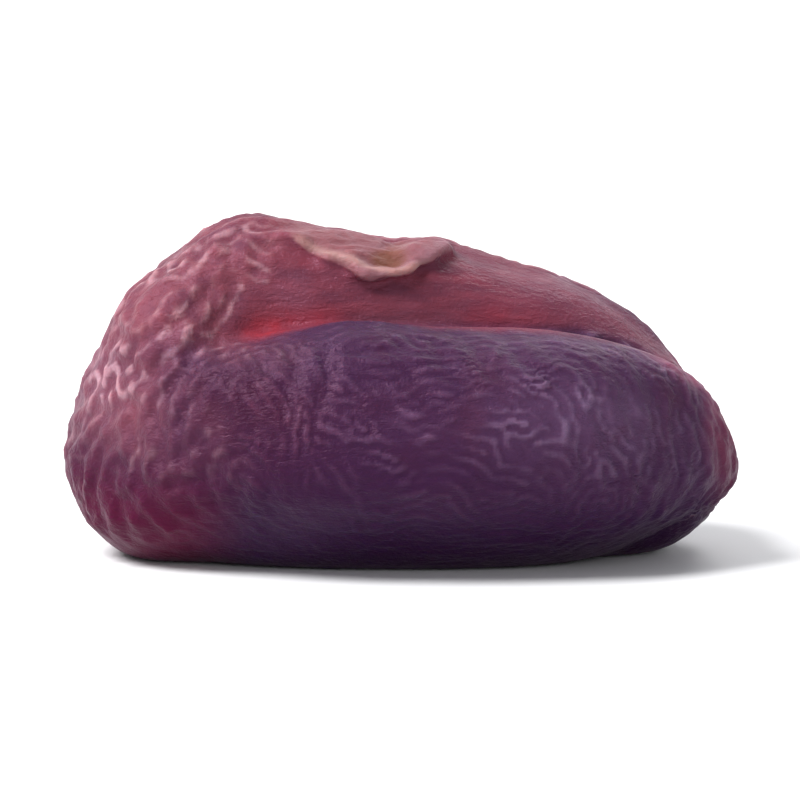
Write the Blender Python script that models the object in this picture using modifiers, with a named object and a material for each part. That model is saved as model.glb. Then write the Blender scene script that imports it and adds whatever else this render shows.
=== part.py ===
"""A whole dried apricot, stoned and unsulphured, lying on a flat surface.

The fruit dried as one piece, so it is one solid. Its two cheeks are joined at the left end and underneath,
and stand apart along the front of the top, where the stone was pushed out: that is the mouth. The near cheek
is a plump pad in front of the mouth. The far cheek rises behind it and shows the smooth inner flesh as a
band above the pad. Its torn skin hangs over that band as a lip.

The cheeks and the lip are cushions, each with its own outline. They are fused into one skin, which then
buckles into wrinkles, as drying skin does. Lengths are in millimetres until the mesh is written in metres.
+X runs along the mouth to the tapered end, -Y is the side with the mouth, and +Z is up from the table.
"""

import bmesh
import bpy
import numpy as np

MM = 0.001

# Outlines seen from the front, as (x, z), anticlockwise from the tapered end
FAR_CHEEK = (
    (18.6, 4.8), (18.0, 8.0), (16.0, 10.7), (13.8, 12.7), (11.8, 14.3), (9.4, 15.6), (6.4, 16.3),
    (3.6, 17.1), (1.7, 17.8), (-0.8, 18.1), (-3.4, 18.7), (-6.0, 19.0), (-8.9, 19.2), (-11.4, 18.4),
    (-13.8, 16.8), (-15.7, 14.8), (-16.5, 12.2), (-18.1, 9.4), (-19.3, 6.2), (-18.7, 3.9), (-17.3, 1.2),
    (-15.2, -0.4), (-12.0, -1.0), (-6.0, -1.2), (0.0, -1.2), (7.0, -1.1), (12.0, -0.5), (15.8, 0.6),
    (17.9, 2.4),
)
NEAR_CHEEK = (
    (19.2, 4.8), (18.9, 7.2), (17.6, 9.6), (15.6, 11.3), (13.0, 12.6), (9.6, 13.6), (5.0, 14.0),
    (0.0, 13.8), (-5.0, 13.8), (-9.0, 13.2), (-12.4, 11.7), (-15.2, 9.0), (-16.8, 6.0), (-16.6, 3.0),
    (-14.0, 0.6), (-8.0, -0.7), (0.0, -1.1), (6.0, -0.8), (11.0, 0.2), (15.0, 1.6), (18.0, 3.0),
)
LIP = (
    (3.2, 17.5), (1.7, 17.8), (-0.8, 18.1), (-3.4, 18.6), (-6.0, 18.9), (-8.4, 19.0), (-6.6, 18.3),
    (-4.5, 17.3), (-3.2, 16.8), (-1.8, 16.4), (-0.3, 16.4), (1.0, 16.8), (2.2, 17.3),
)

# How far each cushion stands out in front of and behind its middle, and where that middle lies in y
FAR_CHEEK_MIDDLE = 0.0
FAR_CHEEK_BACK = 12.0
FAR_CHEEK_FRONT = 5.0
FAR_CHEEK_FRONT_AT_JOINED_END = 9.6
NEAR_CHEEK_MIDDLE = -6.2
NEAR_CHEEK_FRONT = 5.4
NEAR_CHEEK_BACK = 4.2
NEAR_CHEEK_TUCK = 3.2
LIP_MIDDLE = -2.4
LIP_LEAN = 1.45
LIP_THICKNESS = 1.9

# Relief of the skin: shallow dents, folds and a hollow in the lip
DENT_LENGTH = 11.0
DENT_DEPTH = 0.28
FOLD_SPACING = 2.3
FOLD_HEIGHT = 0.2
FOLD_PATCHES = 7.0
HOLLOW_DEPTH = 0.7
FLAT_SPOT_BLEND = 0.5

# How wrinkles form: points across one of them, the steps and time that they take, how hard the skin
# buckles, and the cells along each side of the lattice that carries them from one skin to another
WRINKLE_POINTS = 5.0
WRINKLE_STEPS = 320
WRINKLE_TIME = 0.12
WRINKLE_DRIVE = 0.6
LATTICE = 200

# The skin's colour in linear light, and its roughness
SKIN_COLOUR = (0.135, 0.045, 0.075, 1.0)
SKIN_ROUGHNESS = 0.45

# Size of the cells that fuse the cushions, and the share of facets kept in the end
CELL = 0.3
KEPT_SHARE = 0.14


def smooth_step(low, high, value):
    share = np.clip((value - low) / (high - low), 0.0, 1.0)
    return share * share * (3.0 - 2.0 * share)


def mix(start, end, share):
    return start + (end - start) * share


def closed_curve(points, per_span=12):
    """Points along the closed Catmull-Rom curve through the given ones."""
    given = np.array(points, float)
    share = np.linspace(0.0, 1.0, per_span, endpoint=False)[:, None]
    spans = []
    for place in range(len(given)):
        before, start, end, after = given[np.arange(place - 1, place + 3) % len(given)]
        spans.append(
            start
            + 0.5 * share * (end - before)
            + share**2 * (before - 2.5 * start + 2.0 * end - 0.5 * after)
            + share**3 * (1.5 * (start - end) + 0.5 * (after - before))
        )
    return np.vstack(spans)


def polar_outline(outline):
    """The middle of an outline, and its directions and distances from there."""
    line = closed_curve(outline)
    middle = (line.max(axis=0) + line.min(axis=0)) / 2.0
    turn = np.arctan2(line[:, 1] - middle[1], line[:, 0] - middle[0])
    order = np.argsort(turn)
    return middle, turn[order], np.hypot(*(line - middle).T)[order]


def cushion(outline, middle, front, back, fullness=0.88):
    """A plump closed body with the given outline. Its middle and depths may depend on x and z."""
    ball = bmesh.new()
    bmesh.ops.create_icosphere(ball, subdivisions=6, radius=1.0)
    way = np.array([vert.co for vert in ball.verts])
    centre, turns, reach = polar_outline(outline)
    tall = np.ptp(closed_curve(outline), axis=0)
    angle = np.arctan2(way[:, 2] * tall[1], way[:, 0] * tall[0])
    distance = np.interp(angle, turns, reach, period=2 * np.pi) * np.hypot(way[:, 0], way[:, 2]) ** fullness
    x = centre[0] + distance * np.cos(angle)
    z = centre[1] + distance * np.sin(angle)
    bulge = np.abs(way[:, 1]) ** fullness
    y = middle(x, z) + np.where(way[:, 1] < 0, -front(x, z), back(x, z)) * bulge
    for vert, place in zip(ball.verts, np.column_stack([x, y, z])):
        vert.co = place
    return ball


def far_cheek():
    def middle(x, z):
        return FAR_CHEEK_MIDDLE + 0.0 * x

    def front(x, z):
        return mix(FAR_CHEEK_FRONT_AT_JOINED_END, FAR_CHEEK_FRONT, smooth_step(-15.0, -7.0, x))

    def back(x, z):
        return FAR_CHEEK_BACK + 0.0 * x

    return cushion(FAR_CHEEK, middle, front, back)


def rim_depth(x):
    """Where the near cheek's rim lies in y: it sweeps back towards both ends."""
    return NEAR_CHEEK_MIDDLE + 1.6 * (x / 18.0) ** 2 + 2.0 * (x / 18.0) ** 4


def near_cheek():
    def middle(x, z):
        return rim_depth(x) + NEAR_CHEEK_TUCK * smooth_step(6.0, -1.0, z)

    def front(x, z):
        return NEAR_CHEEK_FRONT + 0.0 * x

    def back(x, z):
        return NEAR_CHEEK_BACK + 0.0 * x

    return cushion(NEAR_CHEEK, middle, front, back)


def lip():
    def middle(x, z):
        ends = 1.4 * smooth_step(0.5, 3.8, x) - 0.7 * smooth_step(-1.5, -6.5, x)
        return LIP_MIDDLE + LIP_LEAN * (z - 17.5) + ends

    def thickness(x, z):
        return LIP_THICKNESS / 2.0 + 0.0 * x

    return cushion(LIP, middle, thickness, thickness)


def as_mesh(name, body):
    mesh = bpy.data.meshes.new(name)
    body.to_mesh(mesh)
    body.free()
    return mesh


def fused(cell):
    """One skin round the cushions, as an array of points and one of four-sided faces."""
    together = bmesh.new()
    for body in (far_cheek(), near_cheek(), lip()):
        together.from_mesh(as_mesh("cushion", body))
    rough = bpy.data.objects.new("cushions", as_mesh("cushions", together))
    bpy.context.scene.collection.objects.link(rough)
    remesh = rough.modifiers.new("fuse", "REMESH")
    remesh.mode = "VOXEL"
    remesh.voxel_size = cell
    skin = rough.evaluated_get(bpy.context.evaluated_depsgraph_get()).to_mesh()
    points = np.empty(len(skin.vertices) * 3)
    skin.vertices.foreach_get("co", points)
    faces = np.empty(len(skin.polygons) * 4, int)
    skin.polygons.foreach_get("vertices", faces)
    bpy.data.objects.remove(rough)
    return points.reshape(-1, 3), faces.reshape(-1, 4)


def edges_of(faces):
    pairs = np.vstack([faces[:, [0, 1]], faces[:, [1, 2]], faces[:, [2, 3]], faces[:, [3, 0]]])
    return np.unique(np.sort(pairs, axis=1), axis=0)


def spread(values, edges):
    """The mean over each point's neighbours of one value per point."""
    near, far = edges.T
    size = len(values)
    count = np.bincount(near, minlength=size) + np.bincount(far, minlength=size)
    return (np.bincount(near, values[far], size) + np.bincount(far, values[near], size)) / count


def relax(points, edges, rounds, weight=0.5):
    """Moves every point towards the mean of its neighbours, as often as asked."""
    points = points.copy()
    for _ in range(rounds):
        for axis in range(3):
            points[:, axis] += weight * (spread(points[:, axis], edges) - points[:, axis])
    return points


def normals_of(points, faces):
    across = np.cross(points[faces[:, 2]] - points[faces[:, 0]], points[faces[:, 3]] - points[faces[:, 1]])
    total = np.zeros_like(points)
    for corner in range(4):
        for axis in range(3):
            total[:, axis] += np.bincount(faces[:, corner], across[:, axis], len(points))
    return total / np.linalg.norm(total, axis=1)[:, None]


def waves(points, length, seed, count=28):
    """Even noise of one wavelength: a seeded sum of plane waves, with a spread of one."""
    draw = np.random.default_rng(seed)
    ways = draw.normal(size=(count, 3))
    ways /= np.linalg.norm(ways, axis=1)[:, None]
    ways *= 2 * np.pi / length * draw.uniform(0.75, 1.3, (count, 1))
    phase = draw.uniform(0.0, 2 * np.pi, count)
    return np.sin(points @ ways.T + phase).sum(axis=1) * np.sqrt(2.0 / count)


def crease_height(x):
    """Height of the line where the pad meets the inner flesh."""
    across = (-12.5, -10.0, -5.0, 0.0, 5.0, 10.0, 13.0, 16.0, 18.4)
    return np.interp(x, across, (11.7, 12.8, 13.6, 13.6, 13.8, 13.4, 12.4, 10.7, 8.0))


def on_lip(points):
    """How far each point belongs to the lip, from 0 to 1."""
    x, y, z = points.T
    foot = np.interp(x, *zip(*LIP[5:], LIP[0]))
    across = smooth_step(-9.4, -8.2, x) * smooth_step(3.7, 2.7, x)
    return smooth_step(-0.1, 0.25, z - foot) * across


def inner_flesh(points):
    """How far each point belongs to the smooth band between the pad and the lip, from 0 to 1."""
    x, y, z = points.T
    left_edge = 0.85 * (z - 11.5) - 12.0
    band = smooth_step(-0.4, 0.4, z - crease_height(x)) * smooth_step(-0.9, 0.9, x - left_edge)
    behind_rim = smooth_step(-0.4, 0.8, y - rim_depth(x))
    return band * behind_rim * smooth_step(0.5, -1.0, y) * (1.0 - on_lip(points))


def along_folds(points):
    """The way the folds run at each point.

    They run along the fruit, slant down across the pad, bend round its free end, and stand up at
    the joined end.
    """
    x, y, z = points.T
    along = np.column_stack([1.0 + 0.0 * x, 0.0 * y, -0.6 * smooth_step(8.0, 18.0, x)])
    slanting = np.column_stack([1.0 + 0.0 * x, 0.0 * y, -0.2 - 1.5 * smooth_step(1.0, -9.0, x)])
    bending = np.column_stack([(z - 6.0) / 6.0, 0.0 * y, (1.0 - x) / 12.0])
    on_pad = (smooth_step(-1.0, -3.0, y) * smooth_step(0.4, -0.4, z - crease_height(x)))[:, None]
    free_end = smooth_step(4.0, 12.0, x)[:, None]
    along = mix(along, mix(slanting, bending, free_end), on_pad)
    standing = np.column_stack([mix(0.3, -0.7, smooth_step(4.0, 11.0, z)), 0.0 * y, 0.0 * z - 0.9])
    return mix(along, standing, smooth_step(-7.0, -11.0, x)[:, None])


def links_of(faces):
    """Pairs of points that share a side or lie across a face from each other, and each pair's weight."""
    sides = edges_of(faces)
    across = np.vstack([faces[:, [0, 2]], faces[:, [1, 3]]])
    return np.vstack([sides, across]), np.repeat([2 / 3, 1 / 3], [len(sides), len(across)])


def pull(values, links, weight):
    """How strongly each point is drawn towards its neighbours' values."""
    near, far = links.T
    step = weight * (values[far] - values[near])
    return np.bincount(near, step, len(values)) - np.bincount(far, step, len(values))


def wrinkles(points, normals, faces, spacing, drive, hold, seed):
    """Heights of about -1 to 1 in ridges that wind, fork and end as they do in a drying skin.

    The skin buckles by the Swift-Hohenberg equation, from seeded noise. Drive is how hard it buckles
    at each point, and hold is how closely the ridges keep to along_folds.
    """
    links, kind = links_of(faces)
    step = points[links[:, 1]] - points[links[:, 0]]
    length = np.linalg.norm(step, axis=1)
    uneven = spacing * (1.0 + 0.15 * waves(points, 4.0 * spacing, seed + 2))
    steepness = (uneven[links[:, 0]] / (2 * np.pi * length)) ** 2
    stray = 0.35 * waves(points, 5.0 * spacing, seed + 3)[:, None]
    along = along_folds(points)
    along = along * np.cos(stray) + np.cross(normals, along) * np.sin(stray)
    along -= normals * (along * normals).sum(axis=1)[:, None]
    along /= np.linalg.norm(along, axis=1)[:, None] + 1e-9
    in_line = ((step * along[links[:, 0]]).sum(axis=1) / length) ** 4 * steepness
    weight = kind * steepness
    total = np.bincount(links[:, 0], weight, len(points)) + np.bincount(links[:, 1], weight, len(points))
    calm = np.minimum(1.0, 3.8 * (WRINKLE_POINTS / (2 * np.pi)) ** 2 / total)
    height = np.random.default_rng(seed).normal(0.0, 0.2, len(points))
    for _ in range(WRINKLE_STEPS):
        bent = height + calm * pull(height, links, weight)
        bent += calm * pull(bent, links, weight)
        held = hold * calm * pull(height, links, in_line)
        height += WRINKLE_TIME * (drive * height - bent + held - height**3)
    return height / np.sqrt(4.0 * WRINKLE_DRIVE / 3.0)


def lattice_corners(points, size):
    """The number and the share of each lattice corner round each point."""
    place = points / size + LATTICE / 2
    first = np.floor(place).astype(int)
    part = place - first
    for corner in np.ndindex(2, 2, 2):
        share = np.where(corner, part, 1.0 - part).prod(axis=1)
        yield (first + corner) @ (1, LATTICE, LATTICE**2), share


def carried_over(values, source, target, size):
    """Values known at one skin's points, read at another's through a lattice of cells of this size."""
    total = np.zeros((2, LATTICE**3))
    for number, share in lattice_corners(source, size):
        total[0] += np.bincount(number, share * values, LATTICE**3)
        total[1] += np.bincount(number, share, LATTICE**3)
    read = np.zeros((2, len(target)))
    for number, share in lattice_corners(target, size):
        read += share * total[:, number]
    return read[0] / np.maximum(read[1], 1e-9)


def joined_end(x):
    """How far each point belongs to the end where the two cheeks are one, from 0 to 1."""
    return smooth_step(-6.0, -13.0, x)


def lip_hollow(points):
    """The small hollow between the two slopes of the lip."""
    x, y, z = points.T
    return np.exp(-(((x + 0.7) / 1.2) ** 2) - ((z - 17.5) / 0.6) ** 2) * smooth_step(1.5, 0.0, y)


def buckled(skin, spacing, seed):
    """Heights of wrinkles of this spacing, smooth on the inner flesh and freest at the joined end."""
    points, normals, faces = skin
    x, y, z = points.T
    uneven = WRINKLE_DRIVE * (1.0 + 0.3 * waves(points, FOLD_PATCHES, seed + 1))
    push = mix(uneven, -0.4, inner_flesh(points))
    hold = mix(0.25, 0.06, joined_end(x))
    return wrinkles(points, normals, faces, spacing, push, hold, seed)


def coarser_wrinkles(points, spacing, seed):
    """The same, formed on a coarser skin and read at the given points."""
    cell = spacing / WRINKLE_POINTS
    skin = smooth_skin(cell)
    return carried_over(buckled(skin, spacing, seed), skin[0], points, cell)


def smooth_skin(cell):
    """The fused cushions without wrinkles: points, normals and faces."""
    points, faces = fused(cell)
    edges = edges_of(faces)
    finer = (CELL / cell) ** 2
    points = relax(points, edges, round(7 * finer))
    x, y, z = points.T
    underneath = smooth_step(4.0, 1.0, z) * smooth_step(9.0, 5.0, x)
    joined = np.maximum(smooth_step(-8.0, -13.0, x), underneath)
    points = relax(points, edges, round(40 * finer), 0.6 * joined)
    return points, normals_of(points, faces), faces


def rested(points):
    """Flattens the underside where the fruit rests, with a soft edge."""
    blend = FLAT_SPOT_BLEND
    low = np.clip(points[:, 2] + blend, 0.0, 2 * blend)
    points[:, 2] = np.where(points[:, 2] < blend, low**2 / (4 * blend), points[:, 2])
    return points


def coarse_relief(points):
    """Height of the relief that the packed solid has too."""
    x, y, z = points.T
    skin = 1.0 - inner_flesh(points)
    pad = smooth_step(-2.0, -5.0, y) * (1.0 - joined_end(x))
    folds = FOLD_HEIGHT * skin * (1.0 - 0.55 * pad) * coarser_wrinkles(points, FOLD_SPACING, seed=4)
    dents = DENT_DEPTH * (0.2 + 0.8 * skin) * waves(points, DENT_LENGTH, 7)
    return (folds + dents) * smooth_step(0.0, 3.0, z) - HOLLOW_DEPTH * lip_hollow(points)


def apricot_skin():
    points, normals, faces = smooth_skin(CELL)
    points = rested(points + normals * coarse_relief(points)[:, None])
    points[:, :2] -= (points[:, :2].max(axis=0) + points[:, :2].min(axis=0)) / 2.0
    return points, faces


def skin_material():
    material = bpy.data.materials.new("dried_fruit_skin")
    material.use_nodes = True
    shader = material.node_tree.nodes["Principled BSDF"]
    shader.inputs["Base Color"].default_value = SKIN_COLOUR
    shader.inputs["Roughness"].default_value = SKIN_ROUGHNESS
    shader.inputs["Metallic"].default_value = 0.0
    return material


def make_apricot():
    points, faces = apricot_skin()
    mesh = bpy.data.meshes.new("apricot")
    mesh.from_pydata((points * MM).tolist(), [], faces.tolist())
    mesh.shade_smooth()
    mesh.materials.append(skin_material())
    fruit = bpy.data.objects.new("apricot", mesh)
    above_rest = fruit.vertex_groups.new(name="above_rest")
    above_rest.add(np.flatnonzero(points[:, 2] > 2.0 * FLAT_SPOT_BLEND).tolist(), 1.0, "REPLACE")
    thin = fruit.modifiers.new("facets", "DECIMATE")
    thin.ratio = KEPT_SHARE
    thin.use_collapse_triangulate = True
    even = fruit.modifiers.new("even", "SMOOTH")
    even.factor = 0.4
    even.iterations = 3
    even.vertex_group = above_rest.name
    return fruit


def main():
    for old in list(bpy.data.objects):
        bpy.data.objects.remove(old)
    collection = bpy.data.collections.new("dried_apricot")
    bpy.context.scene.collection.children.link(collection)
    collection.objects.link(make_apricot())


main()
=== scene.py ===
"""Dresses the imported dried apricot: a finer skin of the same form, its wrinkles, its flesh and its colours.

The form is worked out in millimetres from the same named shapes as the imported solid, and written in metres.
"""

import math

import bmesh
import bpy
import numpy as np
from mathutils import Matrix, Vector


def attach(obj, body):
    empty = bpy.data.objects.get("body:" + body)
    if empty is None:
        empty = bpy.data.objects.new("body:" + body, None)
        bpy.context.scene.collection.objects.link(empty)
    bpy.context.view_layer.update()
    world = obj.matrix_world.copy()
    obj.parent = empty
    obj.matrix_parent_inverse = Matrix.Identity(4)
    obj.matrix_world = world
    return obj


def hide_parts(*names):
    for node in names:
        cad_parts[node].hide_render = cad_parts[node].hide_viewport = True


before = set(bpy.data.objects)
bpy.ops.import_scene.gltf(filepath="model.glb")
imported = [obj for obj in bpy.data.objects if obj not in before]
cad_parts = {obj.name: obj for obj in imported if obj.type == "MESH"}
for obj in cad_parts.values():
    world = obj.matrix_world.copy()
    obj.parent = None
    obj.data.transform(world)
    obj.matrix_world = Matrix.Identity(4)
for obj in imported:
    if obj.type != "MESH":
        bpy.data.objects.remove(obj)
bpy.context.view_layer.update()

MM = 0.001

# Outlines seen from the front, as (x, z), anticlockwise from the tapered end
FAR_CHEEK = (
    (18.6, 4.8), (18.0, 8.0), (16.0, 10.7), (13.8, 12.7), (11.8, 14.3), (9.4, 15.6), (6.4, 16.3),
    (3.6, 17.1), (1.7, 17.8), (-0.8, 18.1), (-3.4, 18.7), (-6.0, 19.0), (-8.9, 19.2), (-11.4, 18.4),
    (-13.8, 16.8), (-15.7, 14.8), (-16.5, 12.2), (-18.1, 9.4), (-19.3, 6.2), (-18.7, 3.9), (-17.3, 1.2),
    (-15.2, -0.4), (-12.0, -1.0), (-6.0, -1.2), (0.0, -1.2), (7.0, -1.1), (12.0, -0.5), (15.8, 0.6),
    (17.9, 2.4),
)
NEAR_CHEEK = (
    (19.2, 4.8), (18.9, 7.2), (17.6, 9.6), (15.6, 11.3), (13.0, 12.6), (9.6, 13.6), (5.0, 14.0),
    (0.0, 13.8), (-5.0, 13.8), (-9.0, 13.2), (-12.4, 11.7), (-15.2, 9.0), (-16.8, 6.0), (-16.6, 3.0),
    (-14.0, 0.6), (-8.0, -0.7), (0.0, -1.1), (6.0, -0.8), (11.0, 0.2), (15.0, 1.6), (18.0, 3.0),
)
LIP = (
    (3.2, 17.5), (1.7, 17.8), (-0.8, 18.1), (-3.4, 18.6), (-6.0, 18.9), (-8.4, 19.0), (-6.6, 18.3),
    (-4.5, 17.3), (-3.2, 16.8), (-1.8, 16.4), (-0.3, 16.4), (1.0, 16.8), (2.2, 17.3),
)

# How far each cushion stands out in front of and behind its middle, and where that middle lies in y
FAR_CHEEK_MIDDLE = 0.0
FAR_CHEEK_BACK = 12.0
FAR_CHEEK_FRONT = 5.0
FAR_CHEEK_FRONT_AT_JOINED_END = 9.6
NEAR_CHEEK_MIDDLE = -6.2
NEAR_CHEEK_FRONT = 5.4
NEAR_CHEEK_BACK = 4.2
LIP_MIDDLE = -2.4
LIP_THICKNESS = 1.9

# How far the near cheek's underside is tucked back, and how much the lip leans back about its mid height
NEAR_CHEEK_TUCK = 3.2
LIP_LEAN = 1.45
LIP_HEIGHT = 17.5

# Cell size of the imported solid, and its rounds of smoothing: all over, then where the cheeks are one
COARSE_CELL = 0.3
SMOOTHING_ROUNDS = 7
JOINING_ROUNDS = 40

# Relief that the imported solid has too: dents, folds, the lip's hollow and the flat spot's soft edge
DENT_LENGTH = 11.0
DENT_DEPTH = 0.28
FOLD_SPACING = 2.3
FOLD_HEIGHT = 0.2
FOLD_PATCHES = 7.0
HOLLOW_DEPTH = 0.7
FLAT_SPOT_BLEND = 0.5

# Finer relief that only this skin has: winding ridges, fine lines and the lip's ragged edge
FINE_CELL = 0.188
RIDGE_SPACING = 1.55
RIDGE_HEIGHT = 0.17
LINE_SPACING = 0.8
LINE_HEIGHT = 0.085
RAGGED_EDGE = 0.14

# How wrinkles form: points across one of them, and the number and length of the steps
WRINKLE_POINTS = 5.0
FOLD_STEPS = 320
FINE_STEPS = 130
WRINKLE_TIME = 0.12

# How hard the skin buckles and the smooth flesh resists, and how closely wrinkles keep to their way
WRINKLE_DRIVE = 0.6
SMOOTH_DRIVE = -0.4
WRINKLE_HOLD = 0.25
WRINKLE_HOLD_AT_JOINED_END = 0.06

# Cells along each side of the lattice that carries wrinkles from one skin to another
LATTICE = 200


def smooth_step(low, high, value):
    share = np.clip((value - low) / (high - low), 0.0, 1.0)
    return share * share * (3.0 - 2.0 * share)


def mix(start, end, share):
    return start + (end - start) * share


def near_line(values, middle, width):
    """One at the middle, and less and less away from it."""
    return np.exp(-(((values - middle) / width) ** 2))


def closed_curve(points, per_span=12):
    """Points along the closed Catmull-Rom curve through the given ones."""
    given = np.array(points, float)
    share = np.linspace(0.0, 1.0, per_span, endpoint=False)[:, None]
    spans = []
    for place in range(len(given)):
        before, start, end, after = given[np.arange(place - 1, place + 3) % len(given)]
        spans.append(
            start
            + 0.5 * share * (end - before)
            + share**2 * (before - 2.5 * start + 2.0 * end - 0.5 * after)
            + share**3 * (1.5 * (start - end) + 0.5 * (after - before))
        )
    return np.vstack(spans)


def polar_outline(outline):
    """The middle of an outline, and its directions and distances from there."""
    line = closed_curve(outline)
    middle = (line.max(axis=0) + line.min(axis=0)) / 2.0
    turn = np.arctan2(line[:, 1] - middle[1], line[:, 0] - middle[0])
    order = np.argsort(turn)
    return middle, turn[order], np.hypot(*(line - middle).T)[order]


def cushion(outline, middle, front, back, fullness=0.88):
    """A plump closed body with the given outline. Its middle and depths may depend on x and z."""
    ball = bmesh.new()
    bmesh.ops.create_icosphere(ball, subdivisions=6, radius=1.0)
    way = np.array([vert.co for vert in ball.verts])
    centre, turns, reach = polar_outline(outline)
    tall = np.ptp(closed_curve(outline), axis=0)
    angle = np.arctan2(way[:, 2] * tall[1], way[:, 0] * tall[0])
    distance = np.interp(angle, turns, reach, period=2 * np.pi) * np.hypot(way[:, 0], way[:, 2]) ** fullness
    x = centre[0] + distance * np.cos(angle)
    z = centre[1] + distance * np.sin(angle)
    bulge = np.abs(way[:, 1]) ** fullness
    y = middle(x, z) + np.where(way[:, 1] < 0, -front(x, z), back(x, z)) * bulge
    for vert, place in zip(ball.verts, np.column_stack([x, y, z])):
        vert.co = place
    return ball


def far_cheek():
    def middle(x, z):
        return FAR_CHEEK_MIDDLE + 0.0 * x

    def front(x, z):
        return mix(FAR_CHEEK_FRONT_AT_JOINED_END, FAR_CHEEK_FRONT, smooth_step(-15.0, -7.0, x))

    def back(x, z):
        return FAR_CHEEK_BACK + 0.0 * x

    return cushion(FAR_CHEEK, middle, front, back)


def rim_depth(x):
    """Where the near cheek's rim lies in y: it sweeps back towards both ends."""
    return NEAR_CHEEK_MIDDLE + 1.6 * (x / 18.0) ** 2 + 2.0 * (x / 18.0) ** 4


def near_cheek():
    def middle(x, z):
        return rim_depth(x) + NEAR_CHEEK_TUCK * smooth_step(6.0, -1.0, z)

    def front(x, z):
        return NEAR_CHEEK_FRONT + 0.0 * x

    def back(x, z):
        return NEAR_CHEEK_BACK + 0.0 * x

    return cushion(NEAR_CHEEK, middle, front, back)


def lip():
    def middle(x, z):
        ends = 1.4 * smooth_step(0.5, 3.8, x) - 0.7 * smooth_step(-1.5, -6.5, x)
        return LIP_MIDDLE + LIP_LEAN * (z - LIP_HEIGHT) + ends

    def thickness(x, z):
        return LIP_THICKNESS / 2.0 + 0.0 * x

    return cushion(LIP, middle, thickness, thickness)


def as_mesh(name, body):
    mesh = bpy.data.meshes.new(name)
    body.to_mesh(mesh)
    body.free()
    return mesh


def fused(cell):
    """One skin round the cushions, as an array of points and one of four-sided faces."""
    together = bmesh.new()
    for body in (far_cheek(), near_cheek(), lip()):
        together.from_mesh(as_mesh("cushion", body))
    rough = bpy.data.objects.new("cushions", as_mesh("cushions", together))
    bpy.context.scene.collection.objects.link(rough)
    remesh = rough.modifiers.new("fuse", "REMESH")
    remesh.mode = "VOXEL"
    remesh.voxel_size = cell
    skin = rough.evaluated_get(bpy.context.evaluated_depsgraph_get()).to_mesh()
    points = np.empty(len(skin.vertices) * 3)
    skin.vertices.foreach_get("co", points)
    faces = np.empty(len(skin.polygons) * 4, int)
    skin.polygons.foreach_get("vertices", faces)
    bpy.data.objects.remove(rough)
    return points.reshape(-1, 3), faces.reshape(-1, 4)


def edges_of(faces):
    pairs = np.vstack([faces[:, [0, 1]], faces[:, [1, 2]], faces[:, [2, 3]], faces[:, [3, 0]]])
    return np.unique(np.sort(pairs, axis=1), axis=0)


def spread(values, edges):
    """The mean over each point's neighbours of one value per point."""
    near, far = edges.T
    size = len(values)
    count = np.bincount(near, minlength=size) + np.bincount(far, minlength=size)
    return (np.bincount(near, values[far], size) + np.bincount(far, values[near], size)) / count


def relax(points, edges, rounds, weight=0.5):
    """Moves every point towards the mean of its neighbours, as often as asked."""
    points = points.copy()
    for _ in range(rounds):
        for axis in range(3):
            points[:, axis] += weight * (spread(points[:, axis], edges) - points[:, axis])
    return points


def normals_of(points, faces):
    across = np.cross(points[faces[:, 2]] - points[faces[:, 0]], points[faces[:, 3]] - points[faces[:, 1]])
    total = np.zeros_like(points)
    for corner in range(4):
        for axis in range(3):
            total[:, axis] += np.bincount(faces[:, corner], across[:, axis], len(points))
    return total / np.linalg.norm(total, axis=1)[:, None]


def waves(points, length, seed, count=28):
    """Even noise of one wavelength: a seeded sum of plane waves, with a spread of one."""
    draw = np.random.default_rng(seed)
    ways = draw.normal(size=(count, 3))
    ways /= np.linalg.norm(ways, axis=1)[:, None]
    ways *= 2 * np.pi / length * draw.uniform(0.75, 1.3, (count, 1))
    phase = draw.uniform(0.0, 2 * np.pi, count)
    return np.sin(points @ ways.T + phase).sum(axis=1) * np.sqrt(2.0 / count)


def crease_height(x):
    """Height of the line where the pad meets the inner flesh."""
    across = (-12.5, -10.0, -5.0, 0.0, 5.0, 10.0, 13.0, 16.0, 18.4)
    return np.interp(x, across, (11.7, 12.8, 13.6, 13.6, 13.8, 13.4, 12.4, 10.7, 8.0))


def above_lip_foot(points):
    """Height above the lip's lower edge."""
    x, y, z = points.T
    return z - np.interp(x, *zip(*LIP[5:], LIP[0]))


def on_lip(points):
    """How far each point belongs to the lip, from 0 to 1."""
    x, y, z = points.T
    across = smooth_step(-9.4, -8.2, x) * smooth_step(3.7, 2.7, x)
    return smooth_step(-0.1, 0.25, above_lip_foot(points)) * across


def inner_flesh(points):
    """How far each point belongs to the smooth band between the pad and the lip, from 0 to 1."""
    x, y, z = points.T
    left_edge = 0.85 * (z - 11.5) - 12.0
    band = smooth_step(-0.4, 0.4, z - crease_height(x)) * smooth_step(-0.9, 0.9, x - left_edge)
    behind_rim = smooth_step(-0.4, 0.8, y - rim_depth(x))
    return band * behind_rim * smooth_step(0.5, -1.0, y) * (1.0 - on_lip(points))


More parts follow.
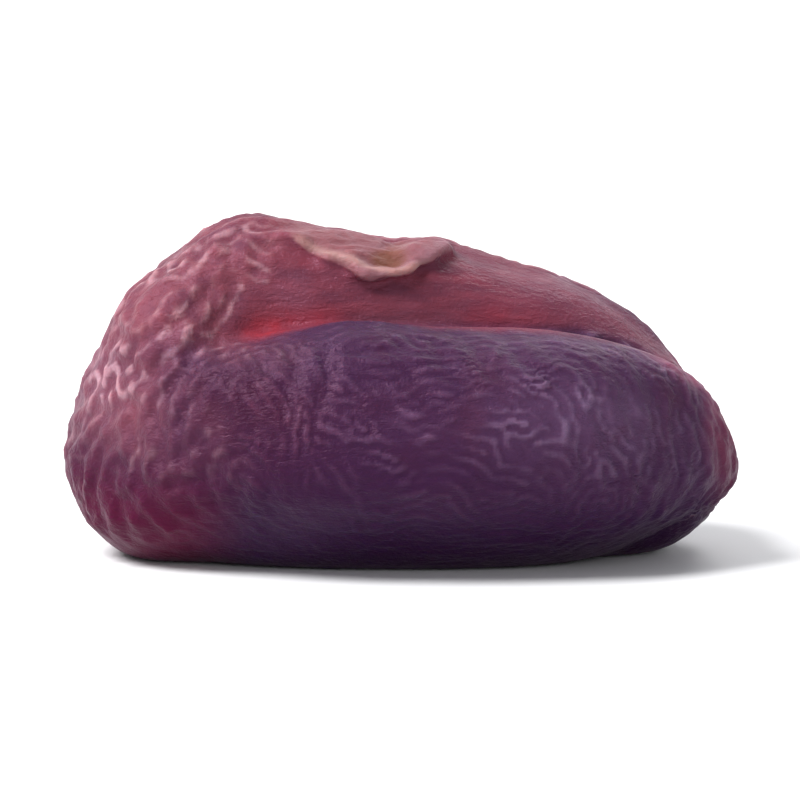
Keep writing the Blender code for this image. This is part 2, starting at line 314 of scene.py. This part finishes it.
def along_folds(points):
    """The way the folds run at each point.

    They run along the fruit, slant down across the pad, bend round its free end, and stand up at
    the joined end.
    """
    x, y, z = points.T
    along = np.column_stack([1.0 + 0.0 * x, 0.0 * y, -0.6 * smooth_step(8.0, 18.0, x)])
    slanting = np.column_stack([1.0 + 0.0 * x, 0.0 * y, -0.2 - 1.5 * smooth_step(1.0, -9.0, x)])
    bending = np.column_stack([(z - 6.0) / 6.0, 0.0 * y, (1.0 - x) / 12.0])
    on_pad = (smooth_step(-1.0, -3.0, y) * smooth_step(0.4, -0.4, z - crease_height(x)))[:, None]
    free_end = smooth_step(4.0, 12.0, x)[:, None]
    along = mix(along, mix(slanting, bending, free_end), on_pad)
    standing = np.column_stack([mix(0.3, -0.7, smooth_step(4.0, 11.0, z)), 0.0 * y, 0.0 * z - 0.9])
    return mix(along, standing, smooth_step(-7.0, -11.0, x)[:, None])


def links_of(faces):
    """Pairs of points that share a side or lie across a face from each other, and each pair's weight."""
    sides = edges_of(faces)
    across = np.vstack([faces[:, [0, 2]], faces[:, [1, 3]]])
    return np.vstack([sides, across]), np.repeat([2 / 3, 1 / 3], [len(sides), len(across)])


def pull(values, links, weight):
    """How strongly each point is drawn towards its neighbours' values."""
    near, far = links.T
    step = weight * (values[far] - values[near])
    return np.bincount(near, step, len(values)) - np.bincount(far, step, len(values))


def wrinkles(points, normals, faces, spacing, drive, hold, seed, steps):
    """Heights of about -1 to 1 in ridges that wind, fork and end as they do in a drying skin.

    The skin buckles by the Swift-Hohenberg equation, from seeded noise. Drive is how hard it buckles
    at each point, and hold is how closely the ridges keep to along_folds.
    """
    links, kind = links_of(faces)
    step = points[links[:, 1]] - points[links[:, 0]]
    length = np.linalg.norm(step, axis=1)
    uneven = spacing * (1.0 + 0.15 * waves(points, 4.0 * spacing, seed + 2))
    steepness = (uneven[links[:, 0]] / (2 * np.pi * length)) ** 2
    stray = 0.35 * waves(points, 5.0 * spacing, seed + 3)[:, None]
    along = along_folds(points)
    along = along * np.cos(stray) + np.cross(normals, along) * np.sin(stray)
    along -= normals * (along * normals).sum(axis=1)[:, None]
    along /= np.linalg.norm(along, axis=1)[:, None] + 1e-9
    in_line = ((step * along[links[:, 0]]).sum(axis=1) / length) ** 4 * steepness
    weight = kind * steepness
    total = np.bincount(links[:, 0], weight, len(points)) + np.bincount(links[:, 1], weight, len(points))
    # Calms the steps where points crowd together, so that they stay stable
    calm = np.minimum(1.0, 3.8 * (WRINKLE_POINTS / (2 * np.pi)) ** 2 / total)
    height = np.random.default_rng(seed).normal(0.0, 0.2, len(points))
    for _ in range(steps):
        bent = height + calm * pull(height, links, weight)
        bent += calm * pull(bent, links, weight)
        held = hold * calm * pull(height, links, in_line)
        height += WRINKLE_TIME * (drive * height - bent + held - height**3)
    full_grown = np.sqrt(4.0 * WRINKLE_DRIVE / 3.0)
    return height / full_grown


def lattice_corners(points, size):
    """The number and the share of each lattice corner round each point."""
    place = points / size + LATTICE / 2
    first = np.floor(place).astype(int)
    part = place - first
    for corner in np.ndindex(2, 2, 2):
        share = np.where(corner, part, 1.0 - part).prod(axis=1)
        yield (first + corner) @ (1, LATTICE, LATTICE**2), share


def carried_over(values, source, target, size):
    """Values known at one skin's points, read at another's through a lattice of cells of this size."""
    total = np.zeros((2, LATTICE**3))
    for number, share in lattice_corners(source, size):
        total[0] += np.bincount(number, share * values, LATTICE**3)
        total[1] += np.bincount(number, share, LATTICE**3)
    read = np.zeros((2, len(target)))
    for number, share in lattice_corners(target, size):
        read += share * total[:, number]
    return read[0] / np.maximum(read[1], 1e-9)


def joined_end(x):
    """How far each point belongs to the end where the two cheeks are one, from 0 to 1."""
    return smooth_step(-6.0, -13.0, x)


def lip_hollow(points):
    """The small hollow between the two slopes of the lip."""
    x, y, z = points.T
    return near_line(x, -0.7, 1.2) * near_line(z, LIP_HEIGHT, 0.6) * smooth_step(1.5, 0.0, y)


def bare_flesh(points):
    """The inner flesh less its ragged left border, over which the finer wrinkles run on."""
    x, y, z = points.T
    left_edge = 0.8 * (z - 13.5) - 10.4
    return inner_flesh(points) * smooth_step(-0.6, 1.6, x - left_edge + 0.5 * waves(points, 1.8, seed=15))


def buckled(skin, spacing, seed, steps, smooth=bare_flesh):
    """Heights of wrinkles of this spacing, none on the smooth part and freest at the joined end."""
    points, normals, faces = skin
    x, y, z = points.T
    uneven = WRINKLE_DRIVE * (1.0 + 0.3 * waves(points, FOLD_PATCHES, seed + 1))
    push = mix(uneven, SMOOTH_DRIVE, smooth(points))
    hold = mix(WRINKLE_HOLD, WRINKLE_HOLD_AT_JOINED_END, joined_end(x))
    return wrinkles(points, normals, faces, spacing, push, hold, seed, steps)


def coarser_wrinkles(points, spacing, seed, steps, smooth=bare_flesh):
    """The same, formed on a coarser skin and read at the given points."""
    cell = spacing / WRINKLE_POINTS
    skin = smooth_skin(cell)
    return carried_over(buckled(skin, spacing, seed, steps, smooth), skin[0], points, cell)


def smooth_skin(cell):
    """The fused cushions without wrinkles: points, normals and faces."""
    points, faces = fused(cell)
    edges = edges_of(faces)
    finer = (COARSE_CELL / cell) ** 2
    points = relax(points, edges, round(SMOOTHING_ROUNDS * finer))
    x, y, z = points.T
    underneath = smooth_step(4.0, 1.0, z) * smooth_step(9.0, 5.0, x)
    joined = np.maximum(smooth_step(-8.0, -13.0, x), underneath)
    points = relax(points, edges, round(JOINING_ROUNDS * finer), weight=0.6 * joined)
    return points, normals_of(points, faces), faces


def rested(points):
    """Flattens the underside where the fruit rests, with a soft edge."""
    blend = FLAT_SPOT_BLEND
    low = np.clip(points[:, 2] + blend, 0.0, 2 * blend)
    points[:, 2] = np.where(points[:, 2] < blend, low**2 / (4 * blend), points[:, 2])
    return points


def coarse_relief(points):
    """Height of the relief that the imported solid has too."""
    x, y, z = points.T
    skin = 1.0 - inner_flesh(points)
    pad = smooth_step(-2.0, -5.0, y) * (1.0 - joined_end(x))
    folds = coarser_wrinkles(points, FOLD_SPACING, seed=4, steps=FOLD_STEPS, smooth=inner_flesh)
    folds *= FOLD_HEIGHT * skin * (1.0 - 0.55 * pad)
    dents = DENT_DEPTH * (0.2 + 0.8 * skin) * waves(points, DENT_LENGTH, seed=7)
    return (folds + dents) * smooth_step(0.0, 3.0, z) - HOLLOW_DEPTH * lip_hollow(points)


def ridged(height, sharpness):
    """Turns even waves into ridges that get narrower as the sharpness rises, from 0 to 1."""
    return np.clip((1.0 + height) / 2.0, 0.0, 1.1) ** sharpness


def torn_edge(points):
    """Relief that makes the lip's lower edge ragged."""
    x, y, z = points.T
    along_lip = smooth_step(-8.0, -6.0, x) * smooth_step(3.7, 2.7, x) * smooth_step(-1.0, -2.0, y)
    return near_line(above_lip_foot(points), 0.2, 0.7) * along_lip * waves(points, 1.5, seed=9)


def fine_relief(skin):
    """Height of the ridges and lines that only this skin has, and how far each point is up a ridge, from 0 to
    1: the colour paints this as highlight on the ridges and shade in the valleys.
    """
    points = skin[0]
    x, y, z = points.T
    ridges = ridged(coarser_wrinkles(points, RIDGE_SPACING, seed=21, steps=FINE_STEPS), sharpness=2.8)
    lines = ridged(buckled(skin, LINE_SPACING, seed=35, steps=FINE_STEPS), sharpness=1.4)
    wrinkled = 1.0 - bare_flesh(points)
    end = joined_end(x)
    back = smooth_step(-1.0, 4.0, y)
    worn = np.clip(0.95 + 0.3 * waves(points, 2.2, seed=12), 0.2, 1.6)
    fading = np.clip(0.95 + 0.32 * waves(points, 4.0, seed=19), 0.35, 1.4)
    ridge_height = RIDGE_HEIGHT * wrinkled * np.maximum(end, 0.35 + 0.4 * back) * fading
    line_height = LINE_HEIGHT * (0.15 + 0.85 * wrinkled) * (1.0 - 0.7 * end) * worn
    height = (ridge_height * ridges + line_height * lines) * smooth_step(0.0, 3.0, z)
    # Painted highlight on the ridge tops and painted shade in the valleys between, less of it towards the
    # back
    pale = wrinkled * (ridges * mix(0.25, 0.9, end) + lines * mix(0.55, 0.15, end))
    pale *= mix(worn, fading, end) * (1.0 - 0.35 * smooth_step(0.0, 5.0, y))
    return height, np.clip(pale, 0.0, 1.0)


def wrinkled_skin():
    """The finished points and the faces, with the points before they wrinkled and the ridges' share of
    painted highlight.
    """
    skin = smooth_skin(FINE_CELL)
    points, normals, faces = skin
    fine_height, pale = fine_relief(skin)
    height = coarse_relief(points) + RAGGED_EDGE * torn_edge(points) + fine_height
    finished = rested(points + normals * height[:, None])
    finished[:, :2] -= (finished[:, :2].max(axis=0) + finished[:, :2].min(axis=0)) / 2.0
    return finished, faces, points, pale


def flesh_regions(points, crease):
    """The bare flesh, its glow along the cleft, and the part that turns to mauve."""
    x, y, z = points.T
    flesh = bare_flesh(points)
    glow = 0.75 * near_line(x, -7.4, 1.6) + 0.4 * near_line(x, -4.4, 1.3) + 0.3 * near_line(x, 6.0, 3.2)
    return {
        "flesh": flesh,
        "cleft": glow * near_line(np.maximum(crease, 0.4), 0.4, 0.75) * flesh,
        "mauve": 0.6 * smooth_step(0.0, 12.0, x),
    }


def lip_regions(points):
    """The lip, and on it the pale rim, a painted highlight running down to its hollow, and the hollow."""
    x, y, z = points.T
    above_foot = above_lip_foot(points) + 0.1 * waves(points, 1.4, seed=10)
    facing = on_lip(points) * smooth_step(1.5, -2.0, y)
    # Height of the painted highlight line that runs down the lip
    highlight_streak = np.interp(x, (-6.4, -3.5, -1.8, -0.4, 1.4), (18.4, 17.5, 17.0, 16.7, 17.1))
    return {
        "lip": facing * smooth_step(-8.6, -5.0, x),
        "lip_rim": facing * near_line(above_foot, 0.3, 0.5) * smooth_step(-3.4, -0.6, x),
        "highlight_streak": near_line(z, highlight_streak, 0.2) * smooth_step(-7.0, -5.0, x) * smooth_step(2.0, 0.5, x),
        "hollow": lip_hollow(points),
    }


def pad_regions(points, crease):
    """On the pad: plum near the joined end, shade under the crease, and bloom at the tapered end."""
    x, y, z = points.T
    front = smooth_step(-1.0, -4.0, y)
    return {
        "plum": 0.9 * near_line(x, -8.5, 4.5) * front * smooth_step(13.5, 11.0, z),
        "shade": 0.8 * near_line(crease, -1.0, 1.8) * smooth_step(-9.0, -5.0, x) * front,
        "bloom": smooth_step(1.0, 12.0, x) * front * smooth_step(3.0, 8.0, z),
    }


def redness(points, crease):
    """How far the skin turns from purple to pink: round the lip, on top, and at the joined end."""
    x, y, z = points.T
    halo = near_line(x, -3.5, 6.0) * smooth_step(13.5, 18.0, z)
    shoulder = smooth_step(-5.0, -11.0, x) * smooth_step(10.0, 14.5, z)
    skyline = 0.85 * smooth_step(10.5, 3.5, y) * smooth_step(0.0, 3.0, crease)
    left_end = 0.85 * smooth_step(-7.0, -16.5, x)
    seen = np.maximum.reduce([halo, skyline, left_end, shoulder])
    behind = 0.6 * smooth_step(5.0, -16.0, x) + 0.6 * smooth_step(5.0, 17.0, z)
    behind += 0.14 * waves(points, 7.0, seed=17) + 0.3 * smooth_step(12.0, 19.0, x)
    return mix(seen, behind, smooth_step(2.5, 8.0, y))


def rim_glow(points):
    """Painted glow along the edge of the tapered end, where light shows through the thin flesh."""
    x, y, z = points.T
    blurred = y + 0.7 * waves(points, 5.0, seed=18)
    edge_on = np.maximum(smooth_step(-5.6, -2.6, blurred), 0.8 * smooth_step(16.7, 18.4, x))
    return smooth_step(12.0, 16.5, x) * smooth_step(1.0, 5.5, z) * edge_on * smooth_step(6.0, -1.5, blurred)


def regions(points, pale):
    """Where each kind of surface lies, as a share from 0 to 1 for each point."""
    x, y, z = points.T
    crease = z - crease_height(x)
    # Lower left of the joined end: painted crimson shade, with painted glow of light through the flesh
    low_left_glow_and_shade = smooth_step(-8.0, -13.0, x) * smooth_step(7.5, 3.0, z)
    return {
        **flesh_regions(points, crease),
        **lip_regions(points),
        **pad_regions(points, crease),
        "redder": redness(points, crease),
        "rim": rim_glow(points),
        "powder": 0.4 * near_line(x, -17.6, 3.0) * near_line(z, 10.6, 2.6),
        # Painted shade on the lower front, deepest at the bottom
        "low": smooth_step(10.5, 2.5, z) * smooth_step(6.0, -2.0, y),
        # Painted glow of light through the thin tapered tip, and painted crimson shade at the lower left
        "thin_tip_glow_and_low_shade": np.maximum(0.6 * smooth_step(17.0, 19.0, x), low_left_glow_and_shade),
        "pale": pale,
    }


def add_share(mesh, name, values):
    attribute = mesh.attributes.new(name, "FLOAT", "POINT")
    attribute.data.foreach_set("value", np.ascontiguousarray(values, dtype=np.float32))


def make_fruit():
    finished, faces, points, pale = wrinkled_skin()
    mesh = bpy.data.meshes.new("apricot_skin")
    mesh.from_pydata((finished * MM).tolist(), [], faces.tolist())
    mesh.shade_smooth()
    for name, values in regions(points, pale).items():
        add_share(mesh, name, values)
    mesh.materials.append(skin_material())
    fruit = bpy.data.objects.new("apricot_skin", mesh)
    bpy.context.scene.collection.objects.link(fruit)
    return fruit


def linear(red, green, blue):
    """A colour as a screen shows it, from 0 to 255, turned to linear light."""
    shown = np.array([red, green, blue]) / 255.0
    light = np.where(shown <= 0.04045, shown / 12.92, ((shown + 0.055) / 1.055) ** 2.4)
    return (*light.tolist(), 1.0)


class Nodes:
    """Short ways to add and join the nodes of one material."""

    def __init__(self, material):
        self.tree = material.node_tree
        self.shader = self.tree.nodes["Principled BSDF"]

    def put(self, socket, value):
        if isinstance(value, bpy.types.NodeSocket):
            self.tree.links.new(value, socket)
        else:
            socket.default_value = value

    def share(self, name):
        """What the mesh carries under this name for each point."""
        node = self.tree.nodes.new("ShaderNodeAttribute")
        node.attribute_name = name
        return node.outputs["Fac"]

    def maths(self, what, first, second):
        node = self.tree.nodes.new("ShaderNodeMath")
        node.operation = what
        for socket, value in zip(node.inputs, (first, second)):
            self.put(socket, value)
        return node.outputs[0]

    def blend(self, share, start, end):
        """The start colour, turned to the end colour as far as the share says."""
        node = self.tree.nodes.new("ShaderNodeMix")
        node.data_type = "RGBA"
        self.put(node.inputs["Factor"], share)
        self.put(node.inputs[6], start)
        self.put(node.inputs[7], end)
        return node.outputs[2]

    def ramp(self, value, low, high, start=0.0, end=1.0):
        """A smooth run from start to end as the value goes from low to high."""
        node = self.tree.nodes.new("ShaderNodeMapRange")
        node.interpolation_type = "SMOOTHSTEP"
        for socket, given in zip(node.inputs, (value, low, high, start, end)):
            self.put(socket, given)
        return node.outputs[0]

    def place(self, stretch=(1.0, 1.0, 1.0), turn=(0.0, 0.0, 0.0)):
        """Position on the fruit in millimetres, stretched and turned."""
        where = self.tree.nodes.new("ShaderNodeTexCoord")
        node = self.tree.nodes.new("ShaderNodeMapping")
        node.inputs["Rotation"].default_value = turn
        node.inputs["Scale"].default_value = [share / MM for share in stretch]
        self.tree.links.new(where.outputs["Object"], node.inputs["Vector"])
        return node.outputs[0]

    def noise(self, place, scale, detail=3.0, roughness=0.55, twist=0.0):
        node = self.tree.nodes.new("ShaderNodeTexNoise")
        self.put(node.inputs["Vector"], place)
        node.inputs["Scale"].default_value = scale
        node.inputs["Detail"].default_value = detail
        node.inputs["Roughness"].default_value = roughness
        node.inputs["Distortion"].default_value = twist
        return node.outputs["Fac"]

    def bump(self, height, distance, strength, below=None):
        node = self.tree.nodes.new("ShaderNodeBump")
        node.inputs["Strength"].default_value = strength
        node.inputs["Distance"].default_value = distance
        self.put(node.inputs["Height"], height)
        if below is not None:
            self.put(node.inputs["Normal"], below)
        return node.outputs[0]


# Colours of the skin, each lighter one painted as highlight on the ridges and its darker one as shade in the
# valleys, then of its edges, the flesh and the lip
PAD = linear(88, 58, 88)
PAD_VALLEY = linear(55, 25, 57)
PLUM = linear(80, 32, 54)
PLUM_VALLEY = linear(55, 13, 38)
BLOOM = linear(126, 102, 132)
BLOOM_VALLEY = linear(84, 58, 88)
END = linear(182, 135, 142)
END_VALLEY = linear(123, 62, 73)
POWDER = linear(170, 134, 150)
POWDER_VALLEY = linear(112, 70, 90)
# Painted shade for the lower front
UNDERSIDE_SHADE = linear(31, 0, 42)
# Painted glow for the thin edge of the tapered end
RIM_GLOW = linear(156, 86, 108)
# Painted crimson glow and shade for the thin tip and the lower left
CRIMSON_GLOW_AND_SHADE = linear(78, 0, 34)
FLESH = linear(116, 51, 64)
FLESH_DEEP = linear(93, 42, 57)
FLESH_MAUVE = linear(112, 64, 82)
GLOW = linear(160, 22, 28)
LIP_TAN = linear(130, 81, 86)
LIP_RIM = linear(136, 96, 106)
# Painted highlight for the line down the lip
LIP_HIGHLIGHT = linear(164, 124, 120)
LIP_BROWN = linear(116, 72, 56)


def skin_colour(n, where, mottle):
    """Ridges painted pale as highlight over valleys painted dark as shade: purple on the pad, pink at the
    joined end, and painted shade below.
    """
    # Painted highlight on the ridges and painted shade in the valleys
    ridge_highlight_share = n.ramp(n.share("pale"), 0.15, 0.85)
    pad = n.blend(ridge_highlight_share, PAD_VALLEY, PAD)
    pad = n.blend(n.share("plum"), pad, n.blend(ridge_highlight_share, PLUM_VALLEY, PLUM))
    pad = n.blend(n.share("bloom"), pad, n.blend(ridge_highlight_share, BLOOM_VALLEY, BLOOM))
    pad = n.blend(n.share("shade"), pad, PAD_VALLEY)
    patches = n.maths("SUBTRACT", n.noise(where, 0.22, detail=4.0), 0.5)
    reddening = n.maths("ADD", n.share("redder"), n.maths("MULTIPLY", patches, 1.3))
    skin = n.blend(n.ramp(reddening, 0.0, 1.05), pad, n.blend(ridge_highlight_share, END_VALLEY, END))
    dusky = n.ramp(n.noise(n.place(turn=(0.6, 0.3, 0.0)), 0.33), 0.45, 0.75, end=0.5)
    skin = n.blend(dusky, skin, PLUM_VALLEY)
    skin = n.blend(n.ramp(mottle, 0.35, 0.75, end=0.3), skin, PAD_VALLEY)
    # Painted glow along the thin edge of the tapered end, broken up in patches
    rim = n.maths("MULTIPLY", n.share("rim"), n.ramp(mottle, 0.3, 0.65, start=0.45, end=0.95))
    skin = n.blend(rim, skin, RIM_GLOW)
    # Pales the ridge crests further in random patches, towards BLOOM
    crest_paling = n.ramp(n.noise(where, 3.2, roughness=0.65), 0.5, 0.8, end=0.35)
    skin = n.blend(n.maths("MULTIPLY", crest_paling, ridge_highlight_share), skin, BLOOM)
    skin = n.blend(n.share("powder"), skin, n.blend(ridge_highlight_share, POWDER_VALLEY, POWDER))
    # Painted shade on the lower front
    skin = n.blend(n.share("low"), skin, UNDERSIDE_SHADE)
    # Painted crimson glow at the thin tip and painted shade at the lower left
    return n.blend(n.maths("MULTIPLY", n.share("thin_tip_glow_and_low_shade"), 0.8), skin, CRIMSON_GLOW_AND_SHADE)


def flesh_colour(n, where):
    """Red flesh, streaked along the fruit and mauve in places."""
    streaks = n.noise(n.place(stretch=(0.25, 1.0, 1.0), turn=(0.0, 0.5, 0.0)), 0.9, detail=2.0)
    flesh = n.blend(n.ramp(streaks, 0.35, 0.65), FLESH_DEEP, FLESH)
    mauve = n.ramp(n.noise(where, 0.25, detail=2.0), 0.45, 0.75, end=0.5)
    return n.blend(n.maths("MAXIMUM", n.share("mauve"), mauve), flesh, FLESH_MAUVE)


def lip_colour(n, mottle):
    """Tan, with a paler rim, a painted highlight line and a brown hollow."""
    rim = n.maths("MULTIPLY", n.share("lip_rim"), n.ramp(mottle, 0.3, 0.6, start=0.4))
    lip = n.blend(rim, LIP_TAN, LIP_RIM)
    # Painted highlight line down the lip
    lip = n.blend(n.share("highlight_streak"), lip, LIP_HIGHLIGHT)
    return n.blend(n.ramp(n.share("hollow"), 0.2, 0.8), lip, LIP_BROWN)


def fruit_colour(n, where, mottle):
    """Skin, flesh, the glow in the cleft and the lip, which ends in a torn line."""
    colour = n.blend(n.share("flesh"), skin_colour(n, where, mottle), flesh_colour(n, where))
    uneven = n.ramp(n.noise(where, 0.5, detail=2.0), 0.3, 0.6, start=0.3, end=0.9)
    colour = n.blend(n.maths("MULTIPLY", n.share("cleft"), uneven), colour, GLOW)
    torn = n.maths("MULTIPLY", n.maths("SUBTRACT", n.noise(where, 0.7), 0.5), 1.5)
    torn = n.ramp(n.maths("ADD", n.share("lip"), torn), 0.3, 0.9)
    lip_share = n.maths("MULTIPLY", torn, n.ramp(n.share("lip"), 0.0, 0.4))
    return n.blend(lip_share, colour, lip_colour(n, mottle))


def fruit_roughness(n, mottle):
    """Satin in patches, a little smoother on the flesh and duller in the cleft."""
    rough = n.ramp(mottle, 0.3, 0.7, start=0.4, end=0.55)
    rough = n.maths("SUBTRACT", rough, n.maths("MULTIPLY", n.share("flesh"), 0.08))
    return n.maths("ADD", rough, n.maths("MULTIPLY", n.share("cleft"), 0.2))


def fruit_grain(n, where):
    """Grain and hair creases too fine for the mesh."""
    grain = n.bump(n.noise(where, 5.0, roughness=0.6), 0.1 * MM, strength=0.6)
    creases = n.noise(n.place(stretch=(0.3, 1.0, 1.0)), 2.6, roughness=0.6, twist=0.6)
    return n.bump(creases, 0.18 * MM, strength=0.7, below=grain)


def skin_material():
    material = bpy.data.materials.new("dried_apricot_skin")
    material.use_nodes = True
    n = Nodes(material)
    where = n.place()
    mottle = n.noise(where, 0.9, detail=4.0)
    settings = {
        "Base Color": fruit_colour(n, where, mottle),
        "Roughness": fruit_roughness(n, mottle),
        "Normal": fruit_grain(n, where),
        "Subsurface Weight": 0.3,
        "Subsurface Radius": (1.6, 0.45, 0.35),
        "Subsurface Scale": 1.0 * MM,
        "IOR": 1.45,
        "Specular IOR Level": 0.33,
        "Specular Tint": linear(248, 182, 222),
        "Sheen Weight": 0.07,
        "Sheen Roughness": 0.5,
        "Sheen Tint": linear(220, 190, 220),
    }
    for name, value in settings.items():
        n.put(n.shader.inputs[name], value)
    return material


def plain_material(name, colour, roughness):
    material = bpy.data.materials.new(name)
    material.use_nodes = True
    shader = material.node_tree.nodes["Principled BSDF"]
    shader.inputs["Base Color"].default_value = colour
    shader.inputs["Roughness"].default_value = roughness
    return material


def make_floor():
    """A pale floor that curves up behind the fruit, in metres."""
    wide, near, bend_start, radius, tall = 1.6, -0.7, 0.8, 0.3, 1.2
    bend_steps = 16
    profile = [(near, 0.0), (bend_start, 0.0)]
    for step in range(1, bend_steps + 1):
        angle = step / bend_steps * math.pi / 2
        profile.append((bend_start + radius * math.sin(angle), radius * (1 - math.cos(angle))))
    profile.append((bend_start + radius, tall))
    verts = [(side * wide, y, z) for y, z in profile for side in (-1, 1)]
    faces = [(2 * k, 2 * k + 1, 2 * k + 3, 2 * k + 2) for k in range(len(profile) - 1)]
    mesh = bpy.data.meshes.new("floor")
    mesh.from_pydata(verts, [], faces)
    mesh.shade_smooth()
    mesh.materials.append(plain_material("floor", (0.86, 0.86, 0.87, 1.0), roughness=0.6))
    floor = bpy.data.objects.new("floor", mesh)
    bpy.context.scene.collection.objects.link(floor)


def aim(thing, place, target):
    thing.location = place
    thing.rotation_euler = (Vector(target) - Vector(place)).to_track_quat("-Z", "Y").to_euler()


def add_light(name, place, size, power):
    lamp = bpy.data.lights.new(name, "AREA")
    lamp.shape = "DISK"
    lamp.size = size
    lamp.energy = power
    light = bpy.data.objects.new(name, lamp)
    bpy.context.scene.collection.objects.link(light)
    aim(light, place, target=(0.0, 0.0, 0.01))


def light_stage():
    world = bpy.data.worlds.new("studio")
    world.use_nodes = True
    world.node_tree.nodes["Background"].inputs["Color"].default_value = (0.95, 0.97, 1.0, 1.0)
    world.node_tree.nodes["Background"].inputs["Strength"].default_value = 0.4
    bpy.context.scene.world = world
    add_light("key", (-1.08, -0.36, 1.5), size=1.0, power=51.0)
    add_light("front", (0.6, -1.5, 0.75), size=1.2, power=4.5)
    add_light("back", (0.35, 0.6, 0.9), size=0.5, power=3.2)
    bpy.context.scene.view_settings.view_transform = "Standard"


def make_camera():
    """Looks at the mouth side from a little above, as the photograph does."""
    elevation = math.radians(8.0)
    distance = 0.4
    target = Vector((0.0, 0.0, 0.0088))
    lens = bpy.data.cameras.new("camera")
    lens.lens = 315.0
    lens.clip_start = 0.01
    camera = bpy.data.objects.new("camera", lens)
    bpy.context.scene.collection.objects.link(camera)
    way = Vector((0.0, -math.cos(elevation), math.sin(elevation)))
    aim(camera, target + way * distance, target)
    bpy.context.scene.camera = camera


fruit = make_fruit()
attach(fruit, "root")
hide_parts("apricot")
make_floor()
light_stage()
make_camera()
